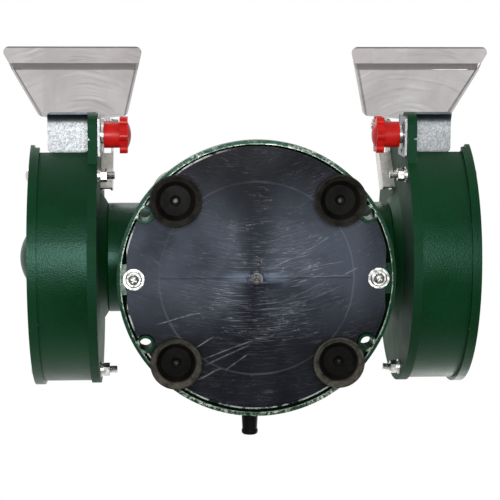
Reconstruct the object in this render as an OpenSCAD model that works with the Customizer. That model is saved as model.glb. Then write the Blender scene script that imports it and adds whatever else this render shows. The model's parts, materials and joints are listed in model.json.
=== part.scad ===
// Bench grinder: two guarded wheels on one spindle, on a round base with suction feet.
// Millimetres. +X runs along the spindle to the user's right, -Y points to the user, +Z is up.
// The origin is the middle of the four bench-bolt holes, in the plane of their lugs' undersides.
// Guards, rests and shields are drawn once, for the right-hand side, and mirrored for the left.

/* [Base] */
// Diameter of the base at its rim
base_d = 179; // [178:0.5:182]
// Height of the base casting's top above the lugs
base_top = 34; // [32:0.5:34]
// Thickness of the base casting's wall
base_wall = 2.6; // [2.4:0.1:3]
// How far the rim reaches below the lugs
rim_drop = 2; // [1.5:0.1:3]
// Distance between bench-bolt holes, left to right
bolt_pitch_x = 143; // [141:0.5:144]
// Distance between bench-bolt holes, front to back
bolt_pitch_y = 84; // [82:0.5:86]
// Diameter of a bench-bolt hole
bolt_hole_d = 8; // [6.5:0.5:8]
// Diameter of the moulded bottom plate
plate_d = 171; // [169:0.5:172]
// Distance between neighbouring suction feet
foot_pitch = 104; // [102:0.5:105]
// Diameter of a suction foot's lip
foot_d = 33; // [30:0.2:34]
// Height of a suction foot below the bottom plate
foot_h = 16; // [13:0.5:18]

/* [Motor] */
// Height of the spindle above the lugs
axis_z = 96.4; // [96:0.1:100]
// Outside diameter of the motor housing
motor_d = 120; // [118:0.5:121]
// Length of the motor housing
motor_l = 98; // [96:1:100]
// Diameter of the end bells' necks
neck_d = 75.6; // [72:0.2:77]
// Diameter of the spindle where the wheels sit
spindle_d = 12.7; // [12:0.1:12.8]

/* [Wheels] */
// Diameter of a new grinding wheel
wheel_d = 150; // [140:1:151]
// Width of a grinding wheel
wheel_w = 25; // [20:0.5:25]
// Distance from the middle of the machine to a wheel's inner face
wheel_x = 112; // [112:0.1:112.5]

/* [Guards] */
// Distance from the middle of the machine to a guard's inner face
guard_x = 102.9; // [102.5:0.1:103]
// Width of a guard over both faces
guard_w = 44.6; // [44.4:0.1:45]
// Diameter of the outer cover
cover_d = 176; // [175:0.5:178]
// Angle of the opening's lower edge, from straight down towards the front
opening_low = 63.5; // [62:0.5:65]
// Angle of the opening's upper edge, from straight down towards the front
opening_high = 153.5; // [150:0.5:154]
// Distance from the spindle to the guard bolts
guard_bolt_r = 79; // [78.6:0.1:79.2]

/* [Tool rests] */
// Height of a rest's underside, measured from the spindle
rest_z = -20; // [-22:0.5:-18]
// Gap between a rest and a new wheel
rest_gap = 2.3; // [1.5:0.1:3]
// Travel of a rest away from the wheel
rest_travel = 9; // [5:0.5:9]
// Diameter of a knob over its lobes
knob_d = 26.6; // [25:0.2:28]

/* [Eye shields] */
// Thickness of the clear sheet
shield_t = 2; // [1.6:0.1:2.4]
// Distance of the sheet's front edge from the spindle
shield_reach = 145; // [140:1:148]

/* [Hidden] */
$fn = 96;

GREEN = [0.05, 0.24, 0.13];
BLACK = [0.13, 0.14, 0.16];
RUBBER = [0.07, 0.065, 0.06];
ZINC = [0.72, 0.73, 0.74];
STEEL = [0.55, 0.56, 0.57];
RED = [0.75, 0.07, 0.05];
CLEAR = [0.8, 0.82, 0.82, 0.35];
STONE = [0.5, 0.5, 0.49];
COPPER = [0.72, 0.35, 0.16];

// Base
base_r = base_d / 2;
cavity_r = base_r - base_wall;
shoulder_z = 8;
crown_r = 60;
lug_r = 5.8;
seat_r = 7.5;
bolt_seat_z = 18;
plate_z = 2;
plate_t = 2.5;
plate_top = plate_z + plate_t;
plate_lip = 1.2;
plate_screw_x = 78.8;
pad_x = 83.4;
pad_half = 10;
foot_top_r = 9.5;
stud_z = 7;
screw_hole_r = 2.1;
cradle_x = 42;
cradle_y = 47;
cradle_top = 56;
motor_bolt_x = 28;
motor_bolt_y = 18;
capacitor_at = [0, 36, 17];
capacitor_r = 11;
sleeve_x = -3.8;
sleeve_z = 10;
sleeve_end = 104;

// Switch: centre of its flat on the front flank, and the flat's slope
switch_at = [0, -77.9, 21.1];
switch_tilt = 55;
rocker_rest = -10;

// Motor
motor_r = motor_d / 2;
motor_bore_r = motor_r - 5;
bell_x = motor_l / 2;
bell_flange = 4;
bell_depth = 16;
spigot_l = 9;
bell_screw_x = bell_x - 4.5;
neck_r = neck_d / 2;
neck_end = 97.5;
shaft_r = 7.5;
shaft_fit = 0.03;
spindle_r = spindle_d / 2;
spindle_end = 149;
flange_seat = 106;
bearing_r = 17.5;
bearing_in = 82;
bearing_w = 11;
stator_r = 31;
stator_half = 25;
slot_count = 24;
air_gap = 0.4;

// Guards
cover_out = guard_x + guard_w;
cover_r = cover_d / 2;
cover_sheet = 1.2;
cover_hem = 2.4;
fold_depth = 6.1;
guard_sheet = 1.5;
guard_hem = 1.6;
band_t = 1.2;
band_r = cover_r - cover_hem - 0.1;
inner_r = band_r + 0.1 + guard_hem;
dish_r = 46;
bore_r = 20;
mount_screw_r = 29;
guard_bolt_angles = [52, -68, 172];
cut_low = 68;
chord_hem = 2.6;
cut_high = 153;
cut_middle = (cut_low + cut_high) / 2;
cover_chord = cover_r * cos((cut_high - cut_low) / 2);
tongue_front = -102.5;
tongue_low = -52;
tongue_high = -24;

// Deflector
deflector_x = [109.6, 140.7];
deflector_in = 77;
deflector_out = 98;
deflector_screw_r = 91;
deflector_slot_r = 2.8;
deflector_x_mid = (deflector_x[0] + deflector_x[1]) / 2;

// Tool rest
wheel_r = wheel_d / 2;
rest_t = 1.5;
rest_rear = -sqrt(wheel_r * wheel_r - rest_z * rest_z) - rest_gap;
rest_front = -95;
rest_lip_r = 7.5;
rest_out = 137.3;
rest_gap_x = 0.3;
rest_flange_out = guard_x - rest_gap_x;
rest_flange_in = rest_flange_out - rest_t;
rest_flange_low = -50;
slot_r = 3.3;
neck_rear = -86.4;
knob_at = [-88, -36];
knob_face = rest_flange_in - 2.1;
knob_hub_r = 8.7;
knob_hub_l = 10.8;
knob_star_t = 5.2;
lobe_count = 6;
lobe_r = 3.1;

// Shield
ear_t = 1.5;
ear_out = guard_x;
ear_end_r = 5;
ear_in = 94.6;
hinge_at = [-88.6, 38];
shield_narrow = [84.7, 147];
shield_wide = [73, 172.8];
shield_rear = -95.8;
shield_lip = 1.7;
lug_gap = 0.5;
bush_r = 3.6;
clamp_r = 2.5;
clamp_fit = 0.05;

// The direction of a guard angle, as Y and Z: 0 is straight down and 90 is towards the user.
function guard_dir(a) = [-sin(a), -cos(a)];
function unit(v) = v / norm(v);
// A quarter turn of points on an ellipse, from [a, 0] to [0, b].
function quarter(a, b, n = 10) = [for (k = [0:n]) [a * cos(90 * k / n), b * sin(90 * k / n)]];
// The polygon p with each corner rounded to radius r.
function rounded(p, r, n = 6) = [
    for (i = [0:len(p) - 1])
        let (
            corner = p[i],
            back = unit(p[(i + len(p) - 1) % len(p)] - corner),
            ahead = unit(p[(i + 1) % len(p)] - corner),
            half = acos(back * ahead) / 2,
            centre = corner + unit(back + ahead) * r / sin(half),
            from = corner + back * r / tan(half) - centre,
            to = corner + ahead * r / tan(half) - centre,
            start = atan2(from[1], from[0]),
            turn = (atan2(to[1], to[0]) - start + 900) % 360 - 180
        )
        for (k = [0:n])
            centre + r * [cos(start + turn * k / n), sin(start + turn * k / n)]
];

// Frames
module on_spindle() translate([0, 0, axis_z]) children();
module side(s) on_spindle() mirror([s < 0 ? 1 : 0, 0, 0]) children();
module both_sides() {
    side(-1) children();
    side(1) children();
}
// Turns drawing axes so that X is drawn as Y, Y as Z, and the extrusion runs along X.
module face_x(x) translate([x, 0, 0]) rotate([90, 0, 90]) children();
// An outline in Y and Z, extruded along X from one value to another.
module across(from, to) face_x(from) linear_extrude(to - from) children();
// A round bar along X, at [y, z].
module bar(from, to, r, at = [0, 0]) face_x(from) translate(at) cylinder(h = to - from, r = r);
// A profile of radius and X, turned round the spindle.
module turned() face_x(0) rotate_extrude() children();
// A hexagon nut's blank along X.
module hexagon(from, to, flats, at) {
    face_x(from) translate(at) cylinder(h = to - from, r = flats / sqrt(3), $fn = 6);
}
// Radial frame of a guard: -Z points outwards at this guard angle, and +Y lies towards smaller angles.
module at_angle(a) rotate([-a, 0, 0]) children();
module switch_frame() translate(switch_at) rotate([switch_tilt, 0, 0]) children();

// Base
module base_outline(inset) {
    shoulder = quarter(base_r - 1 - crown_r, base_top - shoulder_z);
    polygon(concat(
        [[0, -rim_drop - (inset > 0 ? 1 : 0)], [base_r - inset, -rim_drop - (inset > 0 ? 1 : 0)]],
        [[base_r - inset, shoulder_z - 4]],
        [for (p = shoulder) [crown_r + p[0] - inset, shoulder_z + p[1] - inset * p[1] / (base_top - shoulder_z)]],
        [[0, base_top - inset]]
    ));
}

module base_post(x, y, r, low) translate([x, y, low]) cylinder(h = base_top - low, r = r);

module corners(dx, dy) {
    for (x = [-dx, dx] / 2)
        for (y = [-dy, dy] / 2)
            translate([x, y, 0]) children();
}

module cradle() {
    difference() {
        linear_extrude(cradle_top)
            polygon(rounded([
                [-cradle_x, -cradle_y], [cradle_x, -cradle_y], [cradle_x, cradle_y], [-cradle_x, cradle_y]
            ], 14));
        translate([-base_r, -base_r, -1]) cube([base_d, base_d, base_top - base_wall + 1]);
        on_spindle() bar(-base_r, base_r, motor_r + 0.05);
    }
}

module base_inside() {
    // Lugs and seats for the bench bolts, posts for the other screws, and the pad behind the switch
    corners(bolt_pitch_x, bolt_pitch_y) {
        cylinder(h = base_top, r = lug_r);
        translate([0, 0, bolt_seat_z - 3]) cylinder(h = base_top, r = seat_r + 2);
    }
    corners(foot_pitch, foot_pitch) base_post(0, 0, 7, plate_top);
    for (x = [-plate_screw_x, plate_screw_x]) {
        base_post(x, 0, 6, plate_top);
        translate([x > 0 ? pad_x : -base_r, -pad_half, plate_z]) cube([base_r - pad_x, 2 * pad_half, 12]);
    }
    switch_frame() translate([-12, -15, -3]) cube([24, 28, 12]);
}

module base_shell() color(GREEN) difference() {
    union() {
        difference() {
            rotate_extrude() base_outline(0);
            rotate_extrude() base_outline(base_wall);
        }
        intersection() {
            base_inside();
            rotate_extrude() base_outline(0);
        }
        cradle();
    }
    corners(bolt_pitch_x, bolt_pitch_y) {
        translate([0, 0, -rim_drop - 1]) cylinder(h = base_top, r = bolt_hole_d / 2);
        translate([0, 0, bolt_seat_z]) cylinder(h = base_top, r = seat_r);
    }
    corners(foot_pitch, foot_pitch) translate([0, 0, -1]) cylinder(h = 20, r = screw_hole_r);
    corners(2 * motor_bolt_x, 2 * motor_bolt_y) cylinder(h = cradle_top, r = 3.1);
    for (x = [-plate_screw_x, plate_screw_x])
        translate([x, 0, -1]) cylinder(h = 18, r = screw_hole_r);
    translate([sleeve_x, cavity_r - 8, sleeve_z]) rotate([-90, 0, 0]) cylinder(h = 20, r = 6.1);
    switch_frame() {
        translate([-11, -14, 0]) cube([22, 28, 20]);
        translate([-6.6, -9.6, -20]) cube([13.2, 19.2, 21]);
    }
}

module bottom_plate() color(BLACK) difference() {
    union() {
        translate([0, 0, plate_z]) cylinder(h = plate_t, r = plate_d / 2);
        rotate_extrude() translate([plate_d / 2 - 1.3, plate_z - plate_lip]) square([1.3, plate_lip + 1]);
        rotate_extrude() translate([62, plate_z - 0.6]) square([1.2, 1]);
        translate([0, 0, plate_z - 1]) cylinder(h = 2, r1 = 2.6, r2 = 3.2);
        for (a = [0, 90])
            rotate([0, 0, a]) translate([-61, -0.4, plate_z - 0.3]) cube([122, 0.8, 1]);
    }
    corners(bolt_pitch_x, bolt_pitch_y) translate([0, 0, -1]) cylinder(h = 10, r = lug_r + 0.5);
    corners(foot_pitch, foot_pitch) translate([0, 0, -1]) cylinder(h = 10, r = screw_hole_r);
    for (s = [-1, 1]) {
        translate([s * plate_screw_x, 0, -1]) cylinder(h = 10, r = screw_hole_r);
        translate([s > 0 ? pad_x - 0.2 : -base_r, -base_r, -1]) cube([base_r - pad_x + 0.2, base_d, 10]);
    }
}

// A pan-head screw along +Z: its cross-recessed head hangs below z.
module pan_screw(z, length, head_r, shank_r) {
    head_h = head_r * 0.64;
    translate([0, 0, z]) cylinder(h = length, r = shank_r);
    difference() {
        intersection() {
            translate([0, 0, z - head_h]) cylinder(h = head_h, r = head_r);
            translate([0, 0, z + head_r * 0.62]) sphere(r = head_r * 1.28);
        }
        for (a = [25, 115])
            rotate([0, 0, a]) translate([-2, -0.45, z - head_h - 1]) cube([4, 0.9, 2.1]);
    }
}

module plate_screws() color(ZINC) {
    for (x = [-plate_screw_x, plate_screw_x])
        translate([x, 0, 0]) pan_screw(plate_z - 1.2, 15, 3.4, screw_hole_r - 0.1);
}

module plate_washers() color(ZINC) {
    for (x = [-plate_screw_x, plate_screw_x])
        translate([x, 0, 0])
            rotate_extrude()
                polygon([
                    [screw_hole_r, plate_z - 1.2], [4.6, plate_z - 1.2], [5.4, plate_z - 0.8],
                    [6.85, plate_z - 0.8], [6.85, plate_z], [screw_hole_r, plate_z]
                ]);
}

// A suction foot: its lip meets the bench, its waist the bottom plate, and a stud is moulded in.
module foot(sx, sy) color(RUBBER) translate([sx, sy, 0] * foot_pitch / 2 + [0, 0, plate_z - foot_h]) {
    lip = foot_d / 2;
    rotate_extrude()
        polygon([
            [1.4, 2.8], [2.4, 2.8], [2.9, 3.4], [3.3, 5.2], [9.5, 5.2], [13.2, 2.9], [lip - 0.9, 0],
            [lip, 0], [lip, 1.1], [lip - 1.2, 3.4], [11.9, 8], [foot_top_r + 0.4, 12],
            [foot_top_r, foot_h], [screw_hole_r, foot_h], [screw_hole_r, stud_z + 1.2],
            [3.5, stud_z + 1.2], [3.5, stud_z], [1.4, stud_z]
        ]);
}

module front_left_foot() foot(-1, -1);
module front_right_foot() foot(1, -1);
module rear_left_foot() foot(-1, 1);
module rear_right_foot() foot(1, 1);

module foot_screws() color(ZINC) {
    corners(foot_pitch, foot_pitch) translate([0, 0, plate_z - foot_h + stud_z]) {
        cylinder(h = 1.2, r = 3.5);
        cylinder(h = foot_h - stud_z + 11, r = screw_hole_r - 0.1);
    }
}

// The cord's rubber sleeve: a flange inside the wall, a neck through it and a tapered tail.
// The flange is flat underneath, clear of the bottom plate.
module strain_relief() color(RUBBER) difference() {
    inside = cavity_r - 5.4;
    translate([sleeve_x, 0, sleeve_z]) rotate([-90, 0, 0]) rotate_extrude()
        polygon([
            [3.3, inside], [6.8, inside], [6.8, inside + 1.8], [5.9, inside + 1.8], [5.9, base_r - 1],
            [5.4, base_r], [4.85, sleeve_end - 3.4], [5.3, sleeve_end - 2.4], [5.3, sleeve_end - 0.8],
            [4.7, sleeve_end], [3.3, sleeve_end]
        ]);
    translate([sleeve_x - 9, inside - 1, 0]) cube([18, 4, plate_top + 0.2]);
}

module switch_body() color(BLACK) switch_frame() difference() {
    union() {
        translate([-8, -11, 0]) linear_extrude(1.6) polygon(rounded([[0, 0], [16, 0], [16, 22], [0, 22]], 2));
        translate([-6.5, -9.5, -10.5]) cube([13, 19, 11]);
        for (y = [-6, 0, 6])
            translate([-2.4, y - 0.4, -15]) cube([4.8, 0.8, 5]);
    }
    translate([-5.5, -8.9, -7]) cube([11, 17.8, 10]);
    rotate([0, 90, 0]) translate([1.5, 0, -6.3]) cylinder(h = 12.6, r = 1.25);
}

module switch_rocker() color(BLACK) switch_frame() translate([0, 0, -1.5]) rotate([rocker_rest, 0, 0]) {
    across(-5.1, 5.1)
        polygon([[-7.4, 0], [-7.6, 4.2], [-5, 3.4], [0, 2.7], [5, 3.4], [7.6, 4.2], [7.4, 0], [2.4, -2.6], [-2.4, -2.6]]);
    bar(-6.2, 6.2, 1.2);
}

module capacitor() color([0.82, 0.82, 0.8]) translate(capacitor_at) {
    bar(-30, 30, capacitor_r);
    for (y = [-4, 4])
        translate([30, y - 3, -0.4]) cube([8, 6, 0.8]);
}

// A strap round the capacitor, with one foot under the base's crown.
module capacitor_clamp() color(ZINC) translate(capacitor_at - [6, 0, 0]) {
    top = base_top - base_wall - capacitor_at[2];
    outer = capacitor_r + 1;
    difference() {
        union() {
            bar(0, 12, outer);
            translate([0, -outer, 0]) cube([12, 2 * outer, top]);
        }
        bar(-1, 13, capacitor_r);
        translate([-1, -capacitor_r, 0]) cube([14, 2 * capacitor_r, top + 1]);
    }
    translate([0, capacitor_r, top - 1]) cube([12, 8, 1]);
}

module motor_bolts() color(STEEL) {
    low = base_top - base_wall;
    corners(2 * motor_bolt_x, 2 * motor_bolt_y) {
        translate([0, 0, low - 4]) cylinder(h = 4, r = 5, $fn = 6);
        translate([0, 0, low - 1]) cylinder(h = 12.2, r = 2.9);
    }
}

// Motor
module motor_housing() color(GREEN) on_spindle() difference() {
    bar(-bell_x, bell_x, motor_r);
    bar(-bell_x - 1, bell_x + 1, motor_bore_r);
    for (x = [-bell_screw_x, bell_screw_x])
        for (a = [45:90:315])
            rotate([a, 0, 0]) translate([x, 0, 0]) {
                cylinder(h = motor_r + 1, r = 2.2);
                translate([0, 0, motor_r - 0.8]) cylinder(h = 3, r = 3.9);
            }
    for (x = [-motor_bolt_x, motor_bolt_x])
        for (y = [-motor_bolt_y, motor_bolt_y])
            translate([x, y, -motor_r - 1]) cylinder(h = 20, r = 3);
}

module end_bell() color(GREEN) difference() {
    wall = 4;
    cap = quarter(motor_r - neck_r, bell_depth);
    inner_cap = quarter(motor_r - neck_r - wall + 2, bell_depth - wall);
    turned()
        polygon(concat(
            [[motor_bore_r - wall, bell_x - spigot_l], [motor_bore_r, bell_x - spigot_l], [motor_bore_r, bell_x]],
            [[motor_r, bell_x]],
            [for (p = cap) [neck_r + p[0], bell_x + bell_flange + p[1]]],
            [[neck_r, neck_end - 0.6], [neck_r - 0.6, neck_end], [10, neck_end], [10, bearing_in + bearing_w]],
            [[bearing_r, bearing_in + bearing_w], [bearing_r, bearing_in], [bearing_r + wall, bearing_in - 2]],
            [[bearing_r + wall, neck_end - 7], [neck_r - wall, neck_end - 7]],
            [for (k = [len(inner_cap) - 1:-1:1])
                [neck_r - wall + inner_cap[k][0], bell_x + bell_flange + inner_cap[k][1]]],
            [[motor_bore_r - wall, bell_x + bell_flange]]
        ));
    for (a = [45:90:315])
        rotate([a, 0, 0]) translate([bell_screw_x, 0, 0]) cylinder(h = motor_r, r = 2);
    for (a = [30, 150, 270])
        bar(neck_end - 14, neck_end + 1, 2.5, mount_screw_r * [cos(a), sin(a)]);
}

module left_end_bell() side(-1) end_bell();
module right_end_bell() side(1) end_bell();

module end_bell_screws() color(STEEL) both_sides() {
    for (a = [45:90:315])
        rotate([a, 0, 0]) translate([bell_screw_x, 0, 0]) {
            translate([0, 0, motor_bore_r - 3.5]) cylinder(h = 8, r = 1.9);
            translate([0, 0, motor_r - 0.8]) cylinder(h = 2.2, r = 3.5);
        }
}

module stator_core() color(STEEL) on_spindle() across(-stator_half, stator_half) difference() {
    circle(r = motor_bore_r);
    circle(r = stator_r);
    for (k = [1:slot_count])
        rotate(360 * k / slot_count) {
            translate([stator_r + 2, -1.9]) square([14, 3.8]);
            translate([stator_r - 1, -1]) square([4, 2]);
        }
}

module stator_windings() color(COPPER) on_spindle() {
    for (k = [1:slot_count])
        rotate([360 * k / slot_count, 0, 0])
            translate([-stator_half - 1, stator_r + 2.4, -1.5]) cube([2 * stator_half + 2, 13.2, 3]);
    for (s = [-1, 1])
        mirror([s < 0 ? 1 : 0, 0, 0])
            turned()
                polygon(rounded([
                    [stator_r + 2, stator_half + 0.5], [50, stator_half + 0.5],
                    [50, stator_half + 17], [stator_r + 5, stator_half + 17]
                ], 3));
}

module bearing() color(STEEL) {
    middle = bearing_in + bearing_w / 2;
    turned() translate([14.8, bearing_in]) square([bearing_r - 14.8, bearing_w]);
    turned() translate([shaft_r + shaft_fit, bearing_in]) square([10.2 - shaft_r - shaft_fit, bearing_w]);
    for (k = [1:8])
        rotate([45 * k, 0, 0]) translate([middle, 0, 12.5]) sphere(r = 2.4);
}

module left_bearing() side(-1) bearing();
module right_bearing() side(1) bearing();

// Rotor
module shaft() color(STEEL) on_spindle() {
    bar(-flange_seat, flange_seat, shaft_r);
    for (s = [-1, 1])
        mirror([s < 0 ? 1 : 0, 0, 0])
            turned()
                polygon([
                    [0, flange_seat - 1], [spindle_r, flange_seat - 1], [spindle_r, spindle_end - 1],
                    [spindle_r - 1, spindle_end], [0, spindle_end]
                ]);
}

module rotor_core() color(STEEL) on_spindle() difference() {
    union() {
        bar(-stator_half, stator_half, stator_r - air_gap);
        turned() translate([17, -stator_half - 6]) square([11.5, 2 * stator_half + 12]);
    }
    bar(-stator_half - 7, stator_half + 7, shaft_r);
}

module fan() color(BLACK) on_spindle() difference() {
    union() {
        bar(34, 50, 11);
        bar(34, 35.6, 29);
        for (k = [1:9])
            rotate([40 * k, 0, 0]) translate([34, 9, -0.8]) cube([12, 20, 1.6]);
    }
    bar(33, 51, shaft_r);
}

module inner_flange() color(ZINC) {
    turned()
        polygon([
            [spindle_r, flange_seat], [10.5, flange_seat], [11.5, flange_seat + 3], [24.2, flange_seat + 3.4],
            [25, wheel_x - 1], [25, wheel_x], [17, wheel_x], [16, wheel_x - 0.8], [spindle_r, wheel_x - 0.8]
        ]);
}

module wheel() color(STONE) turned()
    polygon([
        [spindle_r, wheel_x], [wheel_r - 0.8, wheel_x], [wheel_r, wheel_x + 0.8],
        [wheel_r, wheel_x + wheel_w - 0.8], [wheel_r - 0.8, wheel_x + wheel_w], [spindle_r, wheel_x + wheel_w]
    ]);

module outer_flange() color(ZINC) {
    face = wheel_x + wheel_w;
    turned()
        polygon([
            [spindle_r, face + 0.8], [16, face + 0.8], [17, face], [25, face], [25, face + 1],
            [24.2, face + 1.8], [14, face + 4], [spindle_r, face + 4]
        ]);
}

module spindle_nut() color(ZINC) difference() {
    face = wheel_x + wheel_w + 4;
    intersection() {
        hexagon(face, face + 6.5, 19, [0, 0]);
        turned() polygon([[0, face], [11, face], [11, face + 5.4], [9.4, face + 6.5], [0, face + 6.5]]);
    }
    bar(face - 1, face + 8, spindle_r);
}

module left_inner_flange() side(-1) inner_flange();
module right_inner_flange() side(1) inner_flange();
module left_wheel() side(-1) wheel();
module right_wheel() side(1) wheel();
module left_outer_flange() side(-1) outer_flange();
module right_outer_flange() side(1) outer_flange();
module left_spindle_nut() side(-1) spindle_nut();
module right_spindle_nut() side(1) spindle_nut();

// Guards
// The inner guard's outline: a disc with a tongue to the front for the tool rest.
module inner_outline(inset) {
    circle(r = inner_r - inset);
    polygon(rounded([
        [tongue_front + inset, tongue_low + inset], [-50, tongue_low + inset],
        [-50, tongue_high - inset], [tongue_front + inset, tongue_high - inset]
    ], 9 - inset));
}

// The outer cover's outline: a disc cut straight across its opening, with round corners.
module cover_outline(inset) {
    r = cover_r - inset;
    chord = cover_chord - inset;
    corner = 6 - inset;
    side_y = sqrt(pow(r - corner, 2) - pow(chord - corner, 2));
    rotate(270 - cut_middle) difference() {
        circle(r = r);
        translate([chord, -r]) square([r, 2 * r]);
        for (s = [-1, 1])
            difference() {
                polygon([
                    [chord - corner, s * side_y], [chord + 9, s * side_y],
                    [chord + 9, s * (side_y + 30)], [chord - corner, s * side_y] * 1.4
                ]);
                translate([chord - corner, s * side_y]) circle(r = corner);
            }
    }
}

module guard_bolt_circle() {
    for (a = guard_bolt_angles)
        translate([0, guard_bolt_r * guard_dir(a)[0], guard_bolt_r * guard_dir(a)[1]]) children();
}

module inner_guard() color(GREEN) difference() {
    union() {
        difference() {
            across(guard_x, guard_x + fold_depth) inner_outline(0);
            across(guard_x + guard_sheet, guard_x + fold_depth + 1) inner_outline(guard_hem);
            bar(guard_x - 1, guard_x + 9, dish_r + 1);
        }
        turned()
            polygon([
                [bore_r, neck_end], [neck_r - 0.4, neck_end], [neck_r + 0.4, neck_end + 0.4],
                [dish_r - 0.6, guard_x - 0.4], [dish_r + 0.6, guard_x], [dish_r + 2, guard_x],
                [dish_r + 2, guard_x + guard_sheet], [dish_r, guard_x + guard_sheet],
                [neck_r, neck_end + guard_sheet + 0.4], [neck_r - 0.8, neck_end + guard_sheet],
                [bore_r, neck_end + guard_sheet]
            ]);
    }
    guard_bolt_circle() bar(guard_x - 1, guard_x + 9, 2.7);
    for (a = [30, 150, 270])
        bar(neck_end - 1, neck_end + 9, 2.7, mount_screw_r * [cos(a), sin(a)]);
    bar(guard_x - 1, guard_x + 9, 3.1, knob_at);
    for (at = bracket_screws_at)
        bar(guard_x - 1, guard_x + 9, 2.1, at);
    // Relief slit in the folded edge of the tongue
    across(guard_x + fold_depth - 2, guard_x + fold_depth + 1)
        translate([-86.5, tongue_low]) rotate(-25) square([1.6, 5], center = true);
}

// The rolled band between the faces, with a flange at the opening's upper edge for the deflector.
module guard_band() color(GREEN) difference() {
    union() {
        across(guard_x + guard_sheet, cover_out - cover_sheet) difference() {
            circle(r = band_r);
            circle(r = band_r - band_t);
            polygon([[0, 0], for (a = [opening_low:(opening_high - opening_low) / 2:opening_high]) 150 * guard_dir(a)]);
        }
        at_angle(opening_high)
            translate([deflector_x[0] + 1, -band_t, -deflector_out])
                cube([deflector_x[1] - deflector_x[0] - 2, band_t, deflector_out - band_r + band_t]);
    }
    at_angle(opening_high)
        translate([deflector_x_mid, -3, -deflector_screw_r]) rotate([-90, 0, 0]) cylinder(h = 6, r = 2.6);
}

module outer_cover() color(GREEN) difference() {
    union() {
        difference() {
            across(cover_out - fold_depth, cover_out) cover_outline(0);
            across(cover_out - fold_depth - 1, cover_out - cover_sheet) cover_outline(cover_hem);
            // The fold is shallow along the straight cut
            across(cover_out - fold_depth - 1, cover_out - chord_hem) rotate(270 - cut_middle)
                translate([cover_chord - cover_hem - 0.8, -cover_r]) square([cover_r, cover_d]);
            bar(cover_out - 9, cover_out + 1, 18);
        }
        turned()
            polygon([
                [0, cover_out + 2.3], [11.4, cover_out + 2.3], [15, cover_out - 0.4], [16.6, cover_out - cover_sheet],
                [19, cover_out - cover_sheet], [19, cover_out], [17.4, cover_out], [16, cover_out + 0.6],
                [12.6, cover_out + 3.1], [11, cover_out + 3.5], [0, cover_out + 3.5]
            ]);
    }
    guard_bolt_circle() bar(cover_out - 9, cover_out + 1, 2.7);
}

module left_inner_guard() side(-1) inner_guard();
module right_inner_guard() side(1) inner_guard();
module left_guard_band() side(-1) guard_band();
module right_guard_band() side(1) guard_band();
module left_outer_cover() side(-1) outer_cover();
module right_outer_cover() side(1) outer_cover();

// A screw along X with a domed head on its outward end.
module dome_screw(from, face, shank_r, head_r, head_h, at) {
    bar(from, face, shank_r, at);
    face_x(face) translate(at) intersection() {
        cylinder(h = head_h, r = head_r);
        translate([0, 0, head_h - head_r * 1.35]) sphere(r = head_r * 1.35);
    }
}

module guard_bolts() color(ZINC) both_sides() {
    guard_bolt_circle() dome_screw(guard_x - 11.4, cover_out, 2.45, 5, 2.7, [0, 0]);
}

module guard_nuts() color(ZINC) both_sides() guard_bolt_circle() difference() {
    union() {
        bar(guard_x - 1, guard_x, 5.2);
        bar(guard_x - 2.3, guard_x - 1, 4.2);
        hexagon(guard_x - 6.3, guard_x - 2.3, 8, [0, 0]);
    }
    bar(guard_x - 7, guard_x + 1, 2.5);
}

module guard_mount_screws() color(STEEL) both_sides() {
    for (a = [30, 150, 270])
        dome_screw(neck_end - 12, neck_end + guard_sheet, 2.4, 4.6, 3, mount_screw_r * [cos(a), sin(a)]);
}

// The spark deflector: a plate in front of the band's flange, slotted so that it slides radially.
module spark_deflector() color(ZINC) at_angle(opening_high) difference() {
    width = deflector_x[1] - deflector_x[0];
    union() {
        translate([deflector_x[0], 0.3, -deflector_out]) cube([width, 1.5, deflector_out - deflector_in]);
        translate([deflector_x[0], 0.3, -deflector_in - 1.5]) cube([width, 6, 1.5]);
    }
    translate([deflector_x_mid, 0, 0]) rotate([-90, 0, 0]) {
        translate([-deflector_slot_r, deflector_screw_r - 5, 0]) cube([2 * deflector_slot_r, 6, 4]);
        for (r = [deflector_screw_r - 5, deflector_screw_r + 1])
            translate([0, r, 0]) cylinder(h = 4, r = deflector_slot_r);
    }
}

module left_spark_deflector() side(-1) spark_deflector();
module right_spark_deflector() side(1) spark_deflector();

module deflector_screws() color(ZINC) both_sides() at_angle(opening_high) {
    translate([deflector_x_mid, 0, -deflector_screw_r]) rotate([-90, 0, 0]) {
        translate([0, 0, -7]) cylinder(h = 9.2, r = 2.5);
        translate([0, 0, 2.1]) cylinder(h = 2.6, r = 4.6);
        translate([0, 0, -band_t - 4]) cylinder(h = 4, r = 8 / sqrt(3), $fn = 6);
    }
}

// Tool rests
// A rest: a plate with a rolled front, a neck in front of the guard's edge, and a slotted flange.
module rest_profile() {
    lip_z = rest_z + rest_t - rest_lip_r;
    translate([rest_front, rest_z]) square([rest_rear - rest_front, rest_t]);
    translate([rest_front, lip_z]) intersection() {
        difference() {
            circle(r = rest_lip_r);
            circle(r = rest_lip_r - rest_t);
        }
        translate([-rest_lip_r, 0]) square(rest_lip_r);
    }
}

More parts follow.
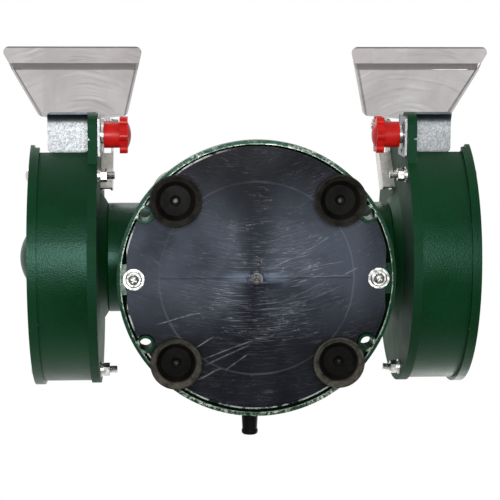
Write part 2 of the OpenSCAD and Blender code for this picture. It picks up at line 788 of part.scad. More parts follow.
module tool_rest() color(ZINC) {
    bend = 2 * rest_t;
    top = rest_z + rest_t;
    tip = rest_front - rest_lip_r - 0.01;
    inner_x = rest_flange_in - 9;
    plate_x = guard_x + fold_depth + 1.2;
    intersection() {
        across(rest_flange_in + bend, rest_out) rest_profile();
        translate([0, 0, rest_z - 20]) linear_extrude(40) {
            polygon(rounded([[inner_x, tip], [rest_out, tip], [rest_out, neck_rear], [inner_x, neck_rear]], 3));
            polygon(rounded([[plate_x, tip], [rest_out, tip], [rest_out, rest_rear], [plate_x, rest_rear]], 3));
        }
    }
    translate([rest_flange_in + bend, neck_rear, top - bend]) rotate([90, 0, 0])
        linear_extrude(neck_rear - rest_front) intersection() {
            difference() {
                circle(r = bend);
                circle(r = rest_t);
            }
            translate([-bend, 0]) square(bend);
        }
    across(rest_flange_in, rest_flange_out) {
        difference() {
            polygon(rounded([
                [rest_front - 5.5, rest_flange_low], [rest_rear + 1, rest_flange_low],
                [rest_rear + 1, top - bend], [rest_front - 5.5, top - bend]
            ], 1.5));
            for (y = [knob_at[0] - 1, knob_at[0] + rest_travel])
                translate([y, knob_at[1]]) circle(r = slot_r);
            translate([knob_at[0] - 1, knob_at[1] - slot_r]) square([rest_travel + 1, 2 * slot_r]);
        }
        translate([rest_front, top - bend - 3]) square([neck_rear - rest_front, 3]);
    }
}

module left_tool_rest() side(-1) tool_rest();
module right_tool_rest() side(1) tool_rest();

module rest_bolts() color(ZINC) both_sides() {
    dome_screw(knob_face - 12, guard_x + guard_sheet, 3, 6.2, 2.6, knob_at);
}

module knob_washers() color(ZINC) both_sides() difference() {
    bar(knob_face + 0.1, rest_flange_in - 0.3, 6, knob_at);
    bar(knob_face - 1, rest_flange_in, 3.05, knob_at);
}

// A knob: a plain hub against the washer, a lobed grip and a shallow domed end.
module rest_knob() color(RED) {
    grip = knob_face - knob_hub_l;
    end = grip - knob_star_t;
    lobe_at = knob_d / 2 - lobe_r;
    difference() {
        union() {
            bar(grip, knob_face - 0.2, knob_hub_r, knob_at);
            across(end, grip) translate(knob_at) {
                circle(r = lobe_at + 0.4);
                for (k = [1:lobe_count])
                    rotate(30 + 360 * k / lobe_count) translate([lobe_at, 0]) circle(r = lobe_r);
            }
            face_x(end - 2.3) translate(knob_at) intersection() {
                cylinder(h = 3, r = 8.6);
                translate([0, 0, 18]) sphere(r = 18);
            }
        }
        bar(knob_face - 13, knob_face + 1, 3.05, knob_at);
    }
}

module left_rest_knob() side(-1) rest_knob();
module right_rest_knob() side(1) rest_knob();

// Eye shields
bracket_screws_at = [[-52, 15], [-62, 31]];

// The shield's bracket: a bent channel with two ears, whose web is cut away at the hinge.
module shield_bracket() color(ZINC) difference() {
    union() {
        for (x = [ear_in, ear_out - ear_t])
            across(x, x + ear_t) {
                polygon(rounded([[-47, 1.5], [-71, 29], [-77, 30.3], [-77, 44.2], [-66, 45], [-44, 22]], 2.5));
                polygon([
                    [-70, 29.4], hinge_at - [0, ear_end_r], hinge_at + [0, ear_end_r], [-68, 44.4]
                ]);
                translate(hinge_at) circle(r = ear_end_r);
            }
        across(ear_in, ear_out)
            polygon([[-48.4, 1.9], [-70.2, 27.4], [-69.1, 28.4], [-47.3, 2.9]]);
    }
    bar(ear_in - 1, ear_out + 1, clamp_r + clamp_fit, hinge_at);
    for (at = bracket_screws_at)
        bar(ear_out - ear_t - 1, ear_out + 1, 2.1, at);
}

module left_shield_bracket() side(-1) shield_bracket();
module right_shield_bracket() side(1) shield_bracket();

module bracket_screws() color(ZINC) both_sides() {
    for (at = bracket_screws_at) {
        dome_screw(ear_out - ear_t - 4, guard_x + guard_sheet, 2, 3.8, 2, at);
        hexagon(ear_out - ear_t - 3, ear_out - ear_t, 7, at);
    }
}

module shield_clamp_screws() color(ZINC) both_sides() {
    dome_screw(ear_in - 4.5, ear_out, clamp_r, 4.6, 2.6, hinge_at);
    hexagon(ear_in - 3.6, ear_in, 8, hinge_at);
}

// A steel bush moulded into the shield's lug.
module shield_hinge() color(ZINC) difference() {
    bar(ear_in + ear_t + 0.3, ear_out - ear_t - 0.3, bush_r, hinge_at);
    bar(ear_in, ear_out, clamp_r + clamp_fit, hinge_at);
}

// The side view of the shield's panel, its step and its front flange, as a line along the underside.
shield_line = [[shield_rear, 36.4], [-129, 23.4], [-133.4, 27.4], [-shield_reach, 23.6]];

// The shield from above, with every side moved in by inset.
module shield_plan(inset) {
    slant = 1.1 * inset;
    polygon(rounded([
        [shield_narrow[0] + slant, shield_rear - inset], [shield_wide[0] + slant, inset - shield_reach],
        [shield_wide[1] - slant, inset - shield_reach], [shield_narrow[1] - slant, shield_rear - inset],
        [134, shield_rear + 2.6 - inset], [114, shield_rear + 2.8 - inset]
    ], 4));
}

// A moulded tray: a flat panel with a lip round it, a step up to the front flange, and a hinge lug.
module eye_shield() color(CLEAR) {
    lift = shield_line[2][1] - shield_line[1][1];
    over = [for (p = shield_line) p + [0, shield_t]];
    behind = shield_line[0] + unit(shield_line[0] - shield_line[1]) * 4;
    difference() {
        intersection() {
            across(shield_wide[0], shield_wide[1])
                polygon([
                    behind, shield_line[0], shield_line[1], shield_line[2], shield_line[3], over[3], over[2],
                    over[0] + [0, lift], behind + [0, shield_t + lift]
                ]);
            linear_extrude(60) shield_plan(0);
        }
        intersection() {
            across(shield_wide[0], shield_wide[1])
                polygon([
                    behind + [0, shield_t], over[0], over[1], over[2] + [0.3, 0], over[2] + [0.3, 40],
                    behind + [0, 60]
                ]);
            translate([0, 0, -1]) linear_extrude(90) shield_plan(shield_lip);
        }
    }
    across(ear_in + ear_t + lug_gap, ear_out - ear_t - lug_gap) difference() {
        union() {
            translate(hinge_at) circle(r = ear_end_r);
            polygon([
                hinge_at - [1, ear_end_r - 0.1], shield_line[0], over[0] + [0, lift], hinge_at + [-1, ear_end_r - 0.1]
            ]);
        }
        translate(hinge_at) circle(r = bush_r);
    }
}

module left_shield_hinge() side(-1) shield_hinge();
module right_shield_hinge() side(1) shield_hinge();
module left_eye_shield() side(-1) eye_shield();
module right_eye_shield() side(1) eye_shield();

base_shell();
bottom_plate();
plate_screws();
plate_washers();
front_left_foot();
front_right_foot();
rear_left_foot();
rear_right_foot();
foot_screws();
strain_relief();
switch_body();
switch_rocker();
capacitor();
capacitor_clamp();
motor_bolts();
motor_housing();
left_end_bell();
right_end_bell();
end_bell_screws();
stator_core();
stator_windings();
left_bearing();
right_bearing();
shaft();
rotor_core();
fan();
left_inner_flange();
right_inner_flange();
left_wheel();
right_wheel();
left_outer_flange();
right_outer_flange();
left_spindle_nut();
right_spindle_nut();
left_inner_guard();
right_inner_guard();
left_guard_band();
right_guard_band();
left_outer_cover();
right_outer_cover();
guard_bolts();
guard_nuts();
guard_mount_screws();
left_spark_deflector();
right_spark_deflector();
deflector_screws();
left_tool_rest();
right_tool_rest();
rest_bolts();
knob_washers();
left_rest_knob();
right_rest_knob();
left_shield_bracket();
right_shield_bracket();
bracket_screws();
shield_clamp_screws();
left_shield_hinge();
right_shield_hinge();
left_eye_shield();
right_eye_shield();
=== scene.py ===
import json
import math
import bmesh
import bpy
from mathutils import Matrix, Vector


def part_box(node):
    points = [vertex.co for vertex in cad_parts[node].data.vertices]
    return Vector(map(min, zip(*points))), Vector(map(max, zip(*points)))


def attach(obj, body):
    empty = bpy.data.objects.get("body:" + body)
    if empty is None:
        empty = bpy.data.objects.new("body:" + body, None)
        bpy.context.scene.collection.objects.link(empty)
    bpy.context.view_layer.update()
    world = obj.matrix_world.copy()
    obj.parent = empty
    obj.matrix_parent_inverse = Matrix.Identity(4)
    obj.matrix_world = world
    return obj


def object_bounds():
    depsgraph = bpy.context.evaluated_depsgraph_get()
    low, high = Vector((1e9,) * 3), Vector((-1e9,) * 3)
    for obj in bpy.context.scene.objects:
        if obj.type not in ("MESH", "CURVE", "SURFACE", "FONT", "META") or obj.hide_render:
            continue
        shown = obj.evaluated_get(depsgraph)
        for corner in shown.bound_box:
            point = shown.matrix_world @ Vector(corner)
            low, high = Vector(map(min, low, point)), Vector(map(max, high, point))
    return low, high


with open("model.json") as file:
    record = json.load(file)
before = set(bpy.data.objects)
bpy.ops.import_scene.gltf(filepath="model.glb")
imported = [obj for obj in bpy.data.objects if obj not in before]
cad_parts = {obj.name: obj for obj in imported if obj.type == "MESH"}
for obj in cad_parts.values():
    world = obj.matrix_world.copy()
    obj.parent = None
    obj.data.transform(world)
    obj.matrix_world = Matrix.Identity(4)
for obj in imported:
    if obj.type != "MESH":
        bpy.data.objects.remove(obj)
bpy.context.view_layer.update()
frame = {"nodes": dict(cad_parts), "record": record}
scene = bpy.context.scene

# --------------------------------------------------------- places, in metres


def middle(node):
    """The middle of a CAD node's box at rest."""
    low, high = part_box(node)
    return (low + high) / 2


# Base: the rim's lower face and radius, the plate's radius, its screws and the bench bolts' holes
RIM_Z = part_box("base_shell")[0].z
BASE_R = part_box("base_shell")[1].x
PLATE_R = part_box("bottom_plate")[1].y
PLATE_SCREW_X = 0.0788
BENCH_BOLT_X = 0.0715
BENCH_BOLT_Y = 0.0420

# Feet: a foot's middle and radius, and the bench under them
FOOT_AT = middle("rear_right_foot")
FOOT_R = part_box("rear_right_foot")[1].x - FOOT_AT.x
BENCH_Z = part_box("rear_right_foot")[0].z

# Guards: the inner guards' outer faces, the covers' flat faces under the solids' own low domes
SPINDLE_Z = middle("shaft").z
INNER_GUARD_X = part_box("right_inner_guard")[1].x
LOW_DOME = 0.0035
COVER_FACE_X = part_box("right_outer_cover")[1].x - LOW_DOME

# Tool rests and eye shields
REST_FRONT_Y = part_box("right_tool_rest")[0].y
REST_TOP_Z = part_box("right_tool_rest")[1].z
SHIELD_FRONT_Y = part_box("right_eye_shield")[0].y

# ---------------------------------------------------------------- node graphs


class Graph:
    """A node tree with short calls for the nodes used here."""

    def __init__(self, tree):
        self.nodes = tree.nodes
        self.links = tree.links

    def find(self, kind):
        return next(n for n in self.nodes if n.type == kind)

    def put(self, value, socket):
        """Links an output to a socket, or sets the socket to a number or colour."""
        if isinstance(value, bpy.types.NodeSocket):
            self.links.new(value, socket)
        elif isinstance(value, (tuple, list)) and len(value) == 3 and socket.type == "RGBA":
            socket.default_value = (*value, 1)
        else:
            socket.default_value = value

    def math(self, op, a, b=0.0):
        n = self.nodes.new("ShaderNodeMath")
        n.operation = op
        self.put(a, n.inputs[0])
        self.put(b, n.inputs[1])
        return n.outputs[0]

    def add(self, a, b):
        return self.math("ADD", a, b)

    def less(self, a, b):
        """a - b"""
        return self.math("SUBTRACT", a, b)

    def size(self, a):
        """The value without its sign."""
        return self.math("ABSOLUTE", a)

    def larger(self, a, b):
        return self.math("MAXIMUM", a, b)

    def times(self, *values):
        product = values[0]
        for value in values[1:]:
            product = self.math("MULTIPLY", product, value)
        return product

    def vector(self, op, a, b=(0, 0, 0)):
        """A vector operation that gives one number."""
        n = self.nodes.new("ShaderNodeVectorMath")
        n.operation = op
        self.put(a, n.inputs[0])
        self.put(b, n.inputs[1])
        return n.outputs["Value"]

    def split(self, vector):
        n = self.nodes.new("ShaderNodeSeparateXYZ")
        self.put(vector, n.inputs[0])
        return n.outputs

    def join(self, x, y, z=0.0):
        n = self.nodes.new("ShaderNodeCombineXYZ")
        for value, socket in zip((x, y, z), n.inputs):
            self.put(value, socket)
        return n.outputs[0]

    def reach(self, x, y):
        """The distance of (x, y) from the origin."""
        return self.vector("LENGTH", self.join(x, y))

    def ramp(self, value, low, high, a=0.0, b=1.0):
        """Goes smoothly from a to b as value goes from low to high."""
        n = self.nodes.new("ShaderNodeMapRange")
        n.interpolation_type = "SMOOTHSTEP"
        inputs = {"Value": value, "From Min": low, "From Max": high, "To Min": a, "To Max": b}
        for key, number in inputs.items():
            self.put(number, n.inputs[key])
        return n.outputs[0]

    def below(self, value, full, none):
        """1 up to full and 0 from none on."""
        return self.ramp(value, full, none, 1.0, 0.0)

    def near(self, value, place, full, none):
        """1 within full of a place and 0 from none away on."""
        return self.below(self.size(self.less(value, place)), full, none)


class Surface(Graph):
    """A material: a Graph about one Principled shader, textured in object coordinates."""

    def __init__(self, name, base, metallic=0.0, roughness=0.5, **sockets):
        self.mat = bpy.data.materials.new(name)
        self.mat.use_nodes = True
        super().__init__(self.mat.node_tree)
        self.bsdf = self.find("BSDF_PRINCIPLED")
        self.bsdf.inputs["Base Color"].default_value = (*base, 1)
        self.bsdf.inputs["Metallic"].default_value = metallic
        self.bsdf.inputs["Roughness"].default_value = roughness
        for key, value in sockets.items():
            self.bsdf.inputs[key.replace("_", " ")].default_value = value
        self.coord = self.nodes.new("ShaderNodeTexCoord").outputs["Object"]
        self.mat.diffuse_color = (*base, 1)

    def stretched(self, scale=(1, 1, 1), turn=0.0, shift=(0, 0, 0), source=None):
        """Coordinates that are scaled, turned about Z by degrees and shifted."""
        n = self.nodes.new("ShaderNodeMapping")
        self.put(source or self.coord, n.inputs["Vector"])
        n.inputs["Scale"].default_value = scale
        n.inputs["Rotation"].default_value = (0, 0, math.radians(turn))
        n.inputs["Location"].default_value = shift
        return n.outputs[0]

    def noise(self, scale, detail=3.0, rough=0.55, source=None, distortion=0.0):
        n = self.nodes.new("ShaderNodeTexNoise")
        self.put(source or self.coord, n.inputs["Vector"])
        n.inputs["Scale"].default_value = scale
        n.inputs["Detail"].default_value = detail
        n.inputs["Roughness"].default_value = rough
        n.inputs["Distortion"].default_value = distortion
        return n.outputs["Fac"]

    def cells(self, scale, feature="F1", out="Distance"):
        n = self.nodes.new("ShaderNodeTexVoronoi")
        n.feature = feature
        self.put(self.coord, n.inputs["Vector"])
        n.inputs["Scale"].default_value = scale
        return n.outputs[out]

    def wave(self, scale, axis, distortion, detail, source=None, kind="BANDS"):
        n = self.nodes.new("ShaderNodeTexWave")
        n.wave_type = kind
        if kind == "BANDS":
            n.bands_direction = axis
        else:
            n.rings_direction = axis
        self.put(source or self.coord, n.inputs["Vector"])
        n.inputs["Scale"].default_value = scale
        n.inputs["Distortion"].default_value = distortion
        n.inputs["Detail"].default_value = detail
        return n.outputs["Fac"]

    def mix(self, fac, a, b):
        n = self.nodes.new("ShaderNodeMix")
        n.data_type = "RGBA"
        self.put(fac, n.inputs["Factor"])
        self.put(a, n.inputs[6])
        self.put(b, n.inputs[7])
        return n.outputs[2]

    def color(self, value):
        self.put(value, self.bsdf.inputs["Base Color"])

    def rough(self, value):
        self.put(value, self.bsdf.inputs["Roughness"])

    def metal(self, value):
        self.put(value, self.bsdf.inputs["Metallic"])

    def so_far(self, key):
        """What already feeds one of the shader's inputs."""
        return self.bsdf.inputs[key].links[0].from_socket

    def bump(self, height, distance, strength):
        n = self.nodes.new("ShaderNodeBump")
        n.inputs["Strength"].default_value = strength
        n.inputs["Distance"].default_value = distance
        self.put(height, n.inputs["Height"])
        if self.bsdf.inputs["Normal"].links:
            self.links.new(self.so_far("Normal"), n.inputs["Normal"])
        self.links.new(n.outputs[0], self.bsdf.inputs["Normal"])

    def edges(self, width):
        """About 1 on a convex edge and 0 on flat faces."""
        bevel = self.nodes.new("ShaderNodeBevel")
        bevel.samples = 4
        bevel.inputs["Radius"].default_value = width
        normal = self.nodes.new("ShaderNodeNewGeometry").outputs["Normal"]
        across = self.vector("DOT_PRODUCT", bevel.outputs[0], normal)
        return self.ramp(self.less(1.0, across), 0.02, 0.2)


# ---------------------------------------------------------------------- paint

GREEN = (0.0003, 0.021, 0.0030)
GREEN_GLOSS = (0.50, 1.0, 0.88, 1.0)


def green_paint(name, grain=950.0, depth=0.00012):
    """Satin paint over a pebbled coat, pale along sharp edges with worn paint and a painted edge
    highlight.
    """
    g = Surface(name, GREEN, roughness=0.34, Specular_IOR_Level=0.22, Specular_Tint=GREEN_GLOSS)
    tone = g.mix(g.ramp(g.noise(26, 4), 0.3, 0.7), (0.0002, 0.0170, 0.0020), (0.0005, 0.0250, 0.0045))
    pebble = g.cells(grain, "SMOOTH_F1")
    tone = g.mix(g.ramp(pebble, 0.25, 0.6, 0.0, 0.35), tone, (0.0001, 0.010, 0.0014))
    fleck = g.times(g.below(g.cells(90), 0.030, 0.050), g.ramp(g.noise(19), 0.52, 0.58), 0.30)
    tone = g.mix(fleck, tone, (0.10, 0.17, 0.12))
    dust = g.times(g.ramp(g.noise(210, 6, 0.75), 0.66, 0.78), 0.10)
    tone = g.mix(dust, tone, (0.05, 0.10, 0.065))
    # Sharp edges: worn paint and a painted highlight, in patches
    worn = g.times(g.edges(0.0006), g.ramp(g.noise(260, 5, 0.7), 0.60, 0.72))
    g.color(g.mix(worn, tone, (0.20, 0.26, 0.21)))
    g.rough(g.ramp(g.noise(60, 3), 0.3, 0.7, 0.306, 0.391))
    g.bump(g.noise(grain, 2), depth, 0.8)
    g.bump(pebble, depth, 0.6)
    return g


def guard_paint():
    """The guards' paint, duller on the inner guards than on the bands and covers."""
    g = green_paint("guard_paint")
    across = g.size(g.split(g.coord)[0])
    step = 0.0005
    duller = g.ramp(across, INNER_GUARD_X - step, INNER_GUARD_X + step, 0.30, 0.0)
    g.rough(g.add(g.so_far("Roughness"), duller))
    return g.mat


def bare_rim(g, y, z, radius, ragged):
    """The base's lower face: a thin bare line inside, and chips outside at the front and the rear."""
    under = g.below(z, RIM_Z + 0.0004, RIM_Z + 0.0011)
    line = g.below(g.add(radius, ragged), BASE_R - 0.0023, BASE_R - 0.0018)
    line = g.times(line, g.ramp(g.noise(360, 4, 0.7), 0.36, 0.60, 0.35, 1.0))
    ragged_y = g.add(y, g.times(ragged, 12.0))
    front = g.ramp(ragged_y, -0.080, -0.062, 0.45, 0.0)
    rear = g.ramp(ragged_y, 0.052, 0.080)
    chips = g.times(g.ramp(g.noise(420, 5, 0.8), 0.46, 0.56), g.ramp(g.noise(30, 3), 0.35, 0.6))
    return g.times(under, g.larger(line, g.times(g.larger(front, rear), chips)))


def bare_lugs(g, x, y, z, radius, ragged):
    """Thin crescents where the bench-bolt lugs meet the rim, on the lugs' faces at z = 0."""
    lug_r, soft = 0.0066, 0.0002
    away = g.reach(g.less(g.size(x), BENCH_BOLT_X), g.less(g.size(y), BENCH_BOLT_Y))
    on_face = g.below(g.size(z), 0.0002, 0.0004)
    outer = g.ramp(g.add(radius, ragged), BASE_R - 0.0045, BASE_R - 0.0031)
    return g.times(g.below(away, lug_r - soft, lug_r + soft), on_face, outer)


def bare_pad(g, x, y, z):
    """The pad behind the plate's washer on the -X side, bare where the facing cut reached it."""
    inner_x, outer_x, half_y, top_z = 0.0832, 0.0870, 0.0100, 0.0020
    fine, soft = 0.0001, 0.0002
    across = g.size(x)
    from_inner = g.ramp(across, inner_x - fine, inner_x + fine)
    to_outer = g.below(across, outer_x - soft, outer_x + soft)
    along_y = g.below(g.size(y), half_y - soft, half_y + soft)
    under = g.below(z, top_z - soft, top_z + soft)
    left_only = g.below(x, -0.01, 0.01)
    return g.times(from_inner, to_outer, along_y, under, left_only)


def base_paint():
    """The base casting: painted, and bare where it was faced or has chipped."""
    g = green_paint("base_paint", 800)
    x, y, z = g.split(g.coord)
    radius = g.reach(x, y)
    ragged = g.times(g.less(g.noise(150, 5, 0.75), 0.5), 0.0022)
    bare = g.larger(bare_rim(g, y, z, radius, ragged), bare_lugs(g, x, y, z, radius, ragged))
    bare = g.larger(bare, bare_pad(g, x, y, z))
    tarnish = g.mix(g.ramp(g.noise(420, 4, 0.7), 0.35, 0.68), (0.09, 0.11, 0.09), (0.42, 0.45, 0.41))
    g.color(g.mix(bare, g.so_far("Base Color"), tarnish))
    g.metal(g.times(bare, 0.6))
    return g.mat


# --------------------------------------------------------------- bottom plate

# Deep scratches on the plate: middle x and y, length, angle in degrees, half width, strength
SCRATCHES = (
    (-0.0515, 0.0258, 0.030, -14, 0.00035, 0.75),
    (-0.0405, 0.0228, 0.010, -4, 0.00045, 0.85),
    (-0.0333, 0.0410, 0.014, -32, 0.00040, 0.70),
    (-0.0180, 0.0462, 0.038, -21, 0.00045, 0.50),
    (-0.0190, 0.0500, 0.034, -25, 0.00060, 0.42),
    (-0.0128, 0.0545, 0.020, -36, 0.00050, 0.50),
    (-0.0305, 0.0624, 0.020, -26, 0.00060, 0.45),
    (0.0167, -0.0102, 0.013, -24, 0.00045, 0.70),
    (0.0365, -0.0205, 0.026, -31, 0.00030, 0.55),
    (0.0440, -0.0015, 0.034, -1, 0.00028, 0.45),
    (0.0610, -0.0046, 0.010, -29, 0.00035, 0.75),
    (0.0293, 0.0020, 0.008, -20, 0.00055, 0.60),
    (0.0327, 0.0140, 0.052, -22, 0.00028, 0.42),
    (0.0420, -0.0084, 0.032, -10, 0.00028, 0.45),
    (0.0300, 0.0090, 0.040, -26, 0.00024, 0.35),
    (-0.0150, 0.0162, 0.024, 14, 0.00030, 0.40),
)
SCRATCH_TONE = (0.40, 0.42, 0.45)


def plate_clouds_and_sheen(g, x, y):
    """Clouded black, with a painted sheen strongest across the middle and broken by a dark stripe from
    front to rear, and a painted highlight in a line across.
    """
    sheen_y, glare_y = -0.014, -0.001
    clouds = g.ramp(g.noise(24, 5, 0.6), 0.32, 0.68)
    tone = g.mix(clouds, (0.0060, 0.0065, 0.0090), (0.0130, 0.0140, 0.0185))
    patchy = g.ramp(g.noise(21, 4, 0.55), 0.28, 0.58, 0.35, 1.0)
    stripe_x = g.add(x, g.times(g.less(g.noise(30, 3), 0.5), 0.010))
    beside_stripe = g.add(g.times(g.ramp(g.size(stripe_x), 0.003, 0.018), 0.75), 0.25)
    thinner = g.ramp(x, 0.060, 0.078, 1.0, 0.45)
    # A painted sheen across the middle, patchy, thinner at +X and broken along the dark stripe
    painted_sheen = g.times(g.near(y, sheen_y, 0.006, 0.062), patchy, beside_stripe, thinner, 0.9)
    tone = g.mix(painted_sheen, tone, (0.068, 0.080, 0.104))
    # A painted highlight in a thin line across the middle
    line = g.times(g.near(y, glare_y, 0.0004, 0.0048), g.below(g.size(x), 0.006, 0.026), 0.55)
    return g.mix(line, tone, (0.22, 0.27, 0.36))


def swept_coordinates(g, x, y):
    """(angle, radius) about a point in front of the plate, so that stretched noise runs in wide arcs."""
    about_x, about_y = -0.004, -0.150
    arc_x = g.less(x, about_x)
    arc_y = g.less(y, about_y)
    return g.join(g.times(g.math("ARCTAN2", arc_x, arc_y), 0.16), g.reach(arc_x, arc_y))


def hairlines(g, swept, radius):
    """Fine rubbing: dense near the middle and sparse outside."""
    hair = g.noise(1.0, 3, 0.7, g.stretched((40, 2100, 1), source=swept))
    other = g.noise(1.0, 3, 0.7, g.stretched((52, 1900, 1), 7, source=swept))
    strong = g.times(g.ramp(hair, 0.56, 0.70), g.ramp(g.noise(34, 4), 0.34, 0.54))
    faint = g.times(g.ramp(other, 0.54, 0.70), g.ramp(g.noise(45, 4, 0.6), 0.44, 0.60))
    return g.times(g.larger(strong, g.times(faint, 0.8)), g.ramp(radius, 0.014, 0.062, 1.0, 0.12), 0.60)


def thin_scratches(g, swept, radius, marks):
    """Adds contour lines of stretched noise, in patches."""
    # Coordinates, turn in degrees, scale along and across, the line's width in the noise, strength
    for k, (source, turn, along, across, width, level) in enumerate((
        (swept, 0, 26, 420, 0.008, 0.75),
        (swept, 6, 34, 520, 0.008, 0.60),
        (g.coord, -24, 30, 480, 0.008, 0.40),
        (g.coord, 70, 36, 520, 0.007, 0.22),
    )):
        place = g.stretched((along, across, 1), turn, (0.37 * k, 0.81 * k, 0), source)
        field = g.noise(1.0, 2, 0.5, place, 0.2)
        line = g.near(field, 0.53 + 0.015 * k, 0.0, width)
        patch = g.ramp(g.noise(38 + 9 * k, 3, 0.6, g.stretched(shift=(0.2 * k, 0, 0))), 0.52, 0.62)
        patch = g.times(patch, g.ramp(radius, 0.030, 0.070, 1.0, 0.25))
        marks = g.larger(marks, g.times(line, patch, level))
    return marks


def deep_scratches(g, marks):
    """Adds the single scratches, each a broken line that wanders a little."""
    wander = g.times(g.less(g.noise(60, 3), 0.5), 0.0022)
    broken = g.ramp(g.noise(300, 4, 0.75), 0.34, 0.60, 0.25, 1.0)
    for at_x, at_y, length, angle, half, level in SCRATCHES:
        place = Matrix.Rotation(math.radians(-angle), 3, "Z") @ Vector((at_x, at_y, 0))
        along, off, _ = g.split(g.stretched(turn=-angle, shift=-place))
        line = g.below(g.size(g.add(off, wander)), half * 0.3, half * 1.25)
        ends = g.below(g.size(along), length * 0.30, length * 0.52)
        marks = g.larger(marks, g.times(line, ends, g.times(broken, 0.62 * level)))
    return marks


def plate_moulding(g, x, y, radius, tone):
    """Adds the moulded ring, the joint line across it, the gate in the middle with its grimy edge, and a
    painted highlight on one side of the gate's rim.
    """
    ring_r, joint_y, gate_r = 0.0626, -0.0004, 0.0030
    ring = g.times(g.near(radius, ring_r, 0.0003, 0.0010), g.ramp(g.noise(25, 3), 0.35, 0.65, 0.06, 0.26))
    tone = g.mix(ring, tone, (0.16, 0.18, 0.20))
    joint = g.times(g.near(y, joint_y, 0.0002, 0.0007), g.below(radius, ring_r - 0.0026, ring_r + 0.0004))
    tone = g.mix(g.times(joint, 0.32), tone, (0.004, 0.004, 0.006))
    smear = g.times(g.below(radius, 0.004, 0.010), g.ramp(g.noise(420, 4, 0.7), 0.4, 0.6))
    tone = g.mix(g.times(smear, 0.8), tone, (0.006, 0.005, 0.005))
    grime = g.mix(g.ramp(g.noise(900, 3), 0.40, 0.62), (0.030, 0.028, 0.026), (0.20, 0.19, 0.17))
    tone = g.mix(g.below(radius, gate_r - 0.0004, gate_r + 0.0002), tone, grime)
    # A painted highlight on one side of the gate's rim
    lit_side = g.ramp(g.less(x, y), -0.001, 0.004, 0.15, 0.8)
    gate_highlight = g.times(g.near(radius, gate_r + 0.0004, 0.0001, 0.0006), lit_side)
    return g.mix(gate_highlight, tone, (0.30, 0.31, 0.32))


def plate_plastic():
    """Black moulded plastic with a painted sheen across the middle, rubbing in wide arcs and a few deep
    scratches.
    """
    g = Surface("plate_plastic", (0.010, 0.011, 0.015), roughness=0.42, Specular_IOR_Level=0.035)
    x, y, _ = g.split(g.coord)
    radius = g.reach(x, y)
    swept = swept_coordinates(g, x, y)
    marks = thin_scratches(g, swept, radius, hairlines(g, swept, radius))
    marks = deep_scratches(g, marks)
    tone = g.mix(marks, plate_clouds_and_sheen(g, x, y), SCRATCH_TONE)
    tone = plate_moulding(g, x, y, radius, tone)
    # The edge, with a patchy painted highlight at -X and at the rear
    lip = g.ramp(radius, PLATE_R - 0.0012, PLATE_R - 0.0007)
    lip = g.times(lip, g.ramp(g.noise(60, 4, 0.7), 0.42, 0.54))
    where = g.larger(g.below(x, -0.040, -0.010), g.ramp(y, 0.060, 0.075, 0.0, 0.75))
    g.color(g.mix(g.times(lip, where, 0.85), tone, (0.50, 0.53, 0.52)))
    g.rough(g.add(g.ramp(g.noise(18, 4), 0.3, 0.7, 0.30, 0.44), g.times(marks, 0.2)))
    g.bump(g.noise(1400, 2), 0.00002, 0.5)
    g.bump(marks, 0.00003, 0.5)
    return g.mat


# --------------------------------------------------------- rubber and plastic


def rubber(name, tone, gloss, dusty):
    """Dull black rubber under patches of dust."""
    g = Surface(name, tone, roughness=0.5, Specular_IOR_Level=gloss)
    dark = tuple(0.6 * t for t in tone)
    pale = tuple(1.5 * t for t in tone)
    dust = g.times(g.ramp(g.noise(130, 6, 0.75), 0.5, 0.78), dusty)
    g.color(g.mix(dust, g.mix(g.ramp(g.noise(60, 3), 0.3, 0.7), dark, pale), (0.080, 0.072, 0.060)))
    g.rough(g.ramp(g.noise(90, 4), 0.3, 0.7, 0.36, 0.56))
    g.bump(g.noise(1500, 3), 0.00004, 0.6)
    return g


def off_foot(g, x, y):
    """Where a point is from the middle of the nearest foot."""
    return g.less(g.size(x), FOOT_AT.x), g.less(g.size(y), FOOT_AT.y)


def foot_rubber():
    """Suction feet: dark in the bowl, dusty brown on the lip that stands on the bench."""
    g = rubber("foot_rubber", (0.0038, 0.0035, 0.0032), 0.045, 0.12)
    x, y, z = g.split(g.coord)
    off_x, off_y = off_foot(g, x, y)
    away = g.reach(off_x, off_y)
    lip = g.ramp(away, FOOT_R - 0.0047, FOOT_R - 0.0029)
    lip = g.times(lip, g.below(z, BENCH_Z + 0.0025, BENCH_Z + 0.0045))
    worn = g.ramp(away, FOOT_R - 0.0013, FOOT_R + 0.0001, 1.0, 0.35)
    patchy = g.ramp(g.noise(170, 5, 0.75), 0.30, 0.62, 0.25, 1.0)
    rear = g.ramp(y, -0.01, 0.01, 0.30, 1.0)
    g.color(g.mix(g.times(lip, worn, patchy, rear), g.so_far("Base Color"), (0.100, 0.092, 0.076)))
    g.bump(g.wave(260, "Z", 2, 2, g.join(off_x, off_y), "RINGS"), 0.00003, 0.4)
    return g.mat


def moulded(name, tone, rough, gloss=0.3):
    """Moulded plastic with slight clouds in its colour and gloss."""
    g = Surface(name, tone, roughness=rough, Specular_IOR_Level=gloss)
    g.color(g.mix(g.ramp(g.noise(140, 5, 0.65), 0.3, 0.75), tone, tuple(0.66 * t for t in tone)))
    g.rough(g.ramp(g.noise(90, 3), 0.3, 0.7, rough * 0.8, rough * 1.4))
    g.bump(g.noise(1200, 2), 0.00003, 0.5)
    return g.mat


